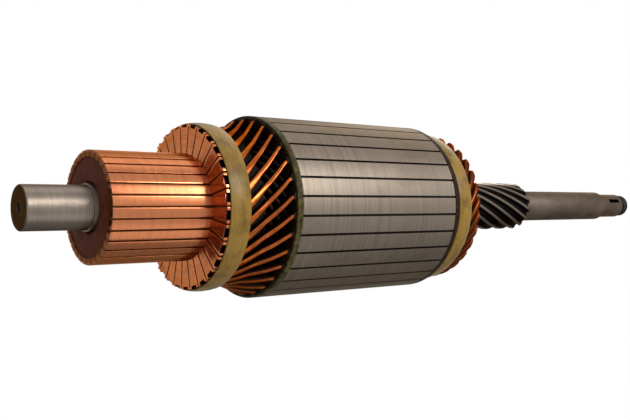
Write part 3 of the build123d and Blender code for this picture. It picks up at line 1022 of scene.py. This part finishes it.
class ROTOR_OT_body(bpy.types.Operator):
    """Turn the resin body that holds the commutator bars"""

    bl_idname = "rotor.body"
    bl_label = "Commutator Body"

    def execute(self, context):
        size = context.scene.rotor_commutator
        face = size.front + size.face_inset
        recess = size.front + size.recess_depth
        section = [
            (face, size.recess_radius),
            (face, size.rim_radius),
            (size.riser_back, size.rim_radius),
            (size.riser_back, size.bore),
            (recess, size.bore),
            (recess, size.recess_radius),
        ]
        resin = plain_look("resin", context.scene.rotor_colours.resin, 0.6, 300.0, 0.04)
        body = lathe("commutator_body", eased(section, size.resin_round, 2), 4 * size.bars)
        piece("commutator_body", body, resin, "resin", "commutator_moulding")
        return {"FINISHED"}


def hairpin_stations(size):
    """Middle, turn, lean and size of a hairpin's section from its top lead to its bottom lead."""
    pitch = 2 * pi / size.coils
    low = -size.pitch * pitch
    middle = low / 2

    def spread(radius, sweep, run):
        return size.bar_width * hypot(1.0, radius * sweep / run)

    def lead(leg, neck, lead_radius, leg_turn, sweep, lean):
        run = size.slot_front - size.lead_end
        neck_turn = leg_turn + sweep * (size.slot_front - size.neck) / run
        lead_turn = leg_turn + sweep
        return [
            (size.lead_start, lead_radius, lead_turn, lean, size.lead_width, size.lead_height),
            (size.lead_end, lead_radius, lead_turn, lean, size.lead_width, size.lead_height),
            (size.neck, neck, neck_turn, lean, spread(neck, sweep, run), size.neck_height),
            (size.slot_front, leg, leg_turn, lean, size.bar_width, size.leg_height),
        ]

    def drive(leg, radius, leg_turn, sweep, lean):
        run = size.nose - size.slot_back
        width = spread(radius, sweep, run)
        line = [(size.slot_back, leg, leg_turn, lean, size.bar_width, size.leg_height)]
        for step in (size.bend, size.run):
            turn = leg_turn + sweep * step / run
            line.append((size.slot_back + step, radius, turn, lean, width, size.run_height))
        return line

    sweep = -middle - size.nose_sweep
    turn_radius = (size.top_run - size.bottom_run) / 2
    nose_radius = (size.top_run + size.bottom_run) / 2 + size.nose_flare
    nose = []
    for lean in np.linspace(size.nose_lean, pi - size.nose_lean, 5):
        reach = cos(lean)
        nose.append(
            (
                size.nose + turn_radius * sin(lean),
                nose_radius + turn_radius * reach,
                middle + size.nose_sweep * reach / cos(size.nose_lean),
                lean,
                size.nose_tip + (size.nose_side - size.nose_tip) * abs(reach),
                size.run_height,
            )
        )
    top_sweep, bottom_sweep = size.top_sweep * pitch, -size.bottom_sweep * pitch
    return [
        *lead(size.top_leg, size.top_neck, size.top_lead, 0.0, top_sweep, 0.0),
        *drive(size.top_leg, size.top_run, 0.0, -sweep, 0.0),
        *nose,
        *drive(size.bottom_leg, size.bottom_run, low, sweep, pi)[::-1],
        *lead(size.bottom_leg, size.bottom_neck, size.bottom_lead, low, bottom_sweep, pi)[::-1],
    ]


def divided(line):
    """A line of stations with more of them on its longer stretches, apart from straight runs."""
    made = [line[0]]
    for near, far in zip(line, line[1:]):
        gap = np.linalg.norm((far - near)[:3])
        steps = 1 if gap > STRAIGHT_RUN else max(1, int(gap / SECTION_STEP))
        made += [near + (far - near) * i / steps for i in range(1, steps + 1)]
    return made


def hairpin_mesh(size):
    """One rounded bar through the stations of a hairpin, with how far out each point lies in its bar,
    lowered in the bottom layer for painted shade.
    """
    weights = np.array([1.0, 1.0, size.top_run, LEAN_WEIGHT, 1.0, 1.0])
    line = [np.array(station) * weights for station in hairpin_stations(size)]
    line = divided(eased(line, size.ease, 4, closed=False))
    corners = []
    for quarter, (right, above) in enumerate(((1, 1), (-1, 1), (-1, -1), (1, -1))):
        corners += [(right, above, pi / 2 * quarter + pi / 4 * step) for step in range(3)]
    rings, shine = [], []
    for station in line:
        x, radius, turn, lean, width, height = station / weights
        out = Vector((0.0, -sin(turn), cos(turn)))
        side = Vector((0.0, cos(turn), sin(turn)))
        up = Vector((1.0, 0.0, 0.0)) * sin(lean) + out * cos(lean)
        past_riser = (x - size.lead_end) / (size.neck - size.lead_end)
        roundness = min(max(past_riser, LEAD_ROUNDNESS), 1.0)
        rounding = min(size.corner, MOST_ROUNDING * height, MOST_ROUNDING * width) * roundness
        layer_shine = 1.0 if lean < BOTTOM_LEAN else BOTTOM_SHINE
        ring = []
        for right, above, bow in corners:
            across = right * (width / 2 - rounding) + rounding * cos(bow)
            along = above * (height / 2 - rounding) + rounding * sin(bow)
            ring.append(Vector((x, 0.0, 0.0)) + out * radius + side * across + up * along)
            # shine is high on a bar's outer face and low on its sides and in the bottom layer, which are
            # painted in shade.
            shine.append((0.5 + along / height) * layer_shine)
        rings.append(ring)
    mesh = tube("hairpin", rings)
    mesh.attributes.new("shine", "FLOAT", "POINT").data.foreach_set("value", shine)
    return closed_up(mesh)


class ROTOR_OT_winding(bpy.types.Operator):
    """Bend the hairpins and set them in the slots"""

    bl_idname = "rotor.winding"
    bl_label = "Winding"

    def execute(self, context):
        size = context.scene.rotor_winding
        copper = winding_look(context.scene.rotor_colours)
        coils = ring_of(hairpin_mesh(size), size.coils, size.first_angle, copper)
        piece("hairpin_coils", coils, copper, "winding_copper", "armature_coils", sharp=60.0)
        return {"FINISHED"}


class ROTOR_OT_bands(bpy.types.Operator):
    """Wind the two glass-fibre bands"""

    bl_idname = "rotor.bands"
    bl_label = "Bands"

    def execute(self, context):
        size = context.scene.rotor_bands
        glass = band_look(context.scene.rotor_colours)
        front = (size.front_start, size.front_end, size.front_inner, size.front_edge, size.front_crest)
        rear = (size.rear_start, size.rear_end, size.rear_inner, size.rear_edge, size.rear_crest)
        for side, (start, end, inner, edge, crest) in (("commutator", front), ("drive", rear)):
            section = [(start, inner)]
            for t in np.linspace(0.0, 1.0, 13):
                rise = 1 - (2 * t - 1) ** 2
                section.append((start + (end - start) * t, edge + (crest - edge) * rise))
            section.append((end, inner))
            mesh = lathe(f"{side}_band", eased(section, size.edge_round, 2), size.sides)
            piece(f"{side}_band", mesh, glass, "glass_band", f"{side}_end_band", sharp=50.0)
        return {"FINISHED"}


class ROTOR_OT_insulation(bpy.types.Operator):
    """Give the slot liners, the mica plates and the layer collars their finish"""

    bl_idname = "rotor.insulation"
    bl_label = "Insulation"

    def execute(self, context):
        hues = context.scene.rotor_colours
        dress("slot_liners", plain_look("slot_paper", hues.paper, 0.6, 500.0, 0.1))
        dress("mica_separators", plain_look("mica", hues.mica, 0.55, 900.0, 0.05))
        paper = plain_look("layer_paper", hues.paper, 0.7, 500.0, 0.05)
        for side in ("commutator", "drive"):
            dress(f"layer_insulation_{side}_side", paper)
        return {"FINISHED"}


def softbox(name, spot, aim, width, height, power):
    data = bpy.data.lights.new(name, "AREA")
    data.shape = "RECTANGLE"
    data.size = width
    data.size_y = height
    data.energy = power
    lamp = bpy.data.objects.new(name, data)
    lamp.location = spot
    lamp.rotation_euler = (Vector(spot) - Vector(aim)).to_track_quat("Z", "Y").to_euler()
    lamp.visible_camera = False
    bpy.context.scene.collection.objects.link(lamp)


def seen_directly(tree):
    """1 for what the camera, a gloss or a clear surface sees, and 0 for light that spreads."""
    path = tree.nodes.new("ShaderNodeLightPath")
    total = path.outputs["Is Camera Ray"]
    for name in ("Is Glossy Ray", "Is Transmission Ray"):
        either = tree.nodes.new("ShaderNodeMath")
        either.operation = "MAXIMUM"
        tree.links.new(total, either.inputs[0])
        tree.links.new(path.outputs[name], either.inputs[1])
        total = either.outputs[0]
    return total


class ROTOR_OT_stage(bpy.types.Operator):
    """Set up the camera, the floor and the studio light"""

    bl_idname = "rotor.stage"
    bl_label = "Stage"

    def execute(self, context):
        scene = context.scene
        stage = scene.rotor_stage
        scene.view_settings.view_transform = "Standard"
        self.camera(scene, stage)
        for name, (spot, aim, width, height) in LAMPS.items():
            softbox(name, spot, aim, width, height, getattr(stage, name))
        self.backdrop(scene, stage)
        self.ground(scene, stage)
        return {"FINISHED"}

    def camera(self, scene, stage):
        data = bpy.data.cameras.new("camera")
        data.sensor_width = 36.0
        data.lens = stage.lens
        data.clip_start = 0.01
        camera = bpy.data.objects.new("camera", data)
        look = Vector(stage.camera_look).normalized()
        right = look.cross(Vector(stage.camera_up)).normalized()
        turn = Matrix((right, right.cross(look), -look)).transposed()
        camera.matrix_world = Matrix.Translation(stage.camera_place) @ turn.to_4x4()
        scene.collection.objects.link(camera)
        scene.camera = camera

    def backdrop(self, scene, stage):
        world = bpy.data.worlds.new("studio")
        world.use_nodes = True
        tree = world.node_tree
        background = tree.nodes["Background"]
        background.inputs["Color"].default_value = (1.0, 1.0, 1.0, 1.0)
        strength = tree.nodes.new("ShaderNodeMapRange")
        tree.links.new(seen_directly(tree), strength.inputs["Value"])
        strength.inputs["To Min"].default_value = stage.fill
        strength.inputs["To Max"].default_value = 1.0
        tree.links.new(strength.outputs[0], background.inputs["Strength"])
        scene.world = world

    def ground(self, scene, stage):
        reach = stage.floor_reach
        corners = [(-reach, -reach), (reach, -reach), (reach, reach), (-reach, reach)]
        mesh = raw_mesh("floor", [(x, y, stage.floor) for x, y in corners], [(0, 1, 2, 3)])
        floor = bpy.data.objects.new("floor", mesh)
        scene.collection.objects.link(floor)
        look = Look("floor_paint", Roughness=0.9, Specular_IOR_Level=0.0, Emission_Color=(1.0, 1.0, 1.0))
        away = look.distance(look.math("ADD", look.x, -stage.floor_middle), look.y)
        far = look.ramp(away, stage.white_start, stage.white_end)
        white = look.math("MULTIPLY", far, seen_directly(look.tree))
        grey = (stage.floor_shade,) * 3
        look.set(Base_Color=look.mix(white, grey, (0.0, 0.0, 0.0)), Emission_Strength=white)
        mesh.materials.append(look.material)


class ROTOR_PT_panel(bpy.types.Panel):
    """Lists the pieces of the armature"""

    bl_idname = "ROTOR_PT_panel"
    bl_label = "Motor Armature"
    bl_space_type = "VIEW_3D"
    bl_region_type = "UI"
    bl_category = "Armature"

    def draw(self, context):
        for operator in OPERATORS:
            self.layout.operator(operator.bl_idname)


SETTINGS = {
    "rotor_shaft": ShaftSettings,
    "rotor_commutator": CommutatorSettings,
    "rotor_core": CoreSettings,
    "rotor_winding": WindingSettings,
    "rotor_bands": BandSettings,
    "rotor_colours": ColourSettings,
    "rotor_stage": StageSettings,
}
OPERATORS = (
    ROTOR_OT_shaft,
    ROTOR_OT_core,
    ROTOR_OT_boards,
    ROTOR_OT_bars,
    ROTOR_OT_body,
    ROTOR_OT_winding,
    ROTOR_OT_bands,
    ROTOR_OT_insulation,
    ROTOR_OT_stage,
)


def register():
    for cls in (*SETTINGS.values(), *OPERATORS, ROTOR_PT_panel):
        bpy.utils.register_class(cls)
    for name, cls in SETTINGS.items():
        setattr(bpy.types.Scene, name, PointerProperty(type=cls))


def unregister():
    for name in SETTINGS:
        delattr(bpy.types.Scene, name)
    for cls in reversed((*SETTINGS.values(), *OPERATORS, ROTOR_PT_panel)):
        bpy.utils.unregister_class(cls)


def main():
    register()
    bpy.ops.rotor.shaft()
    bpy.ops.rotor.core()
    bpy.ops.rotor.boards()
    bpy.ops.rotor.bars()
    bpy.ops.rotor.body()
    bpy.ops.rotor.winding()
    bpy.ops.rotor.bands()
    bpy.ops.rotor.insulation()
    bpy.ops.rotor.stage()


if __name__ == "__main__":
    main()
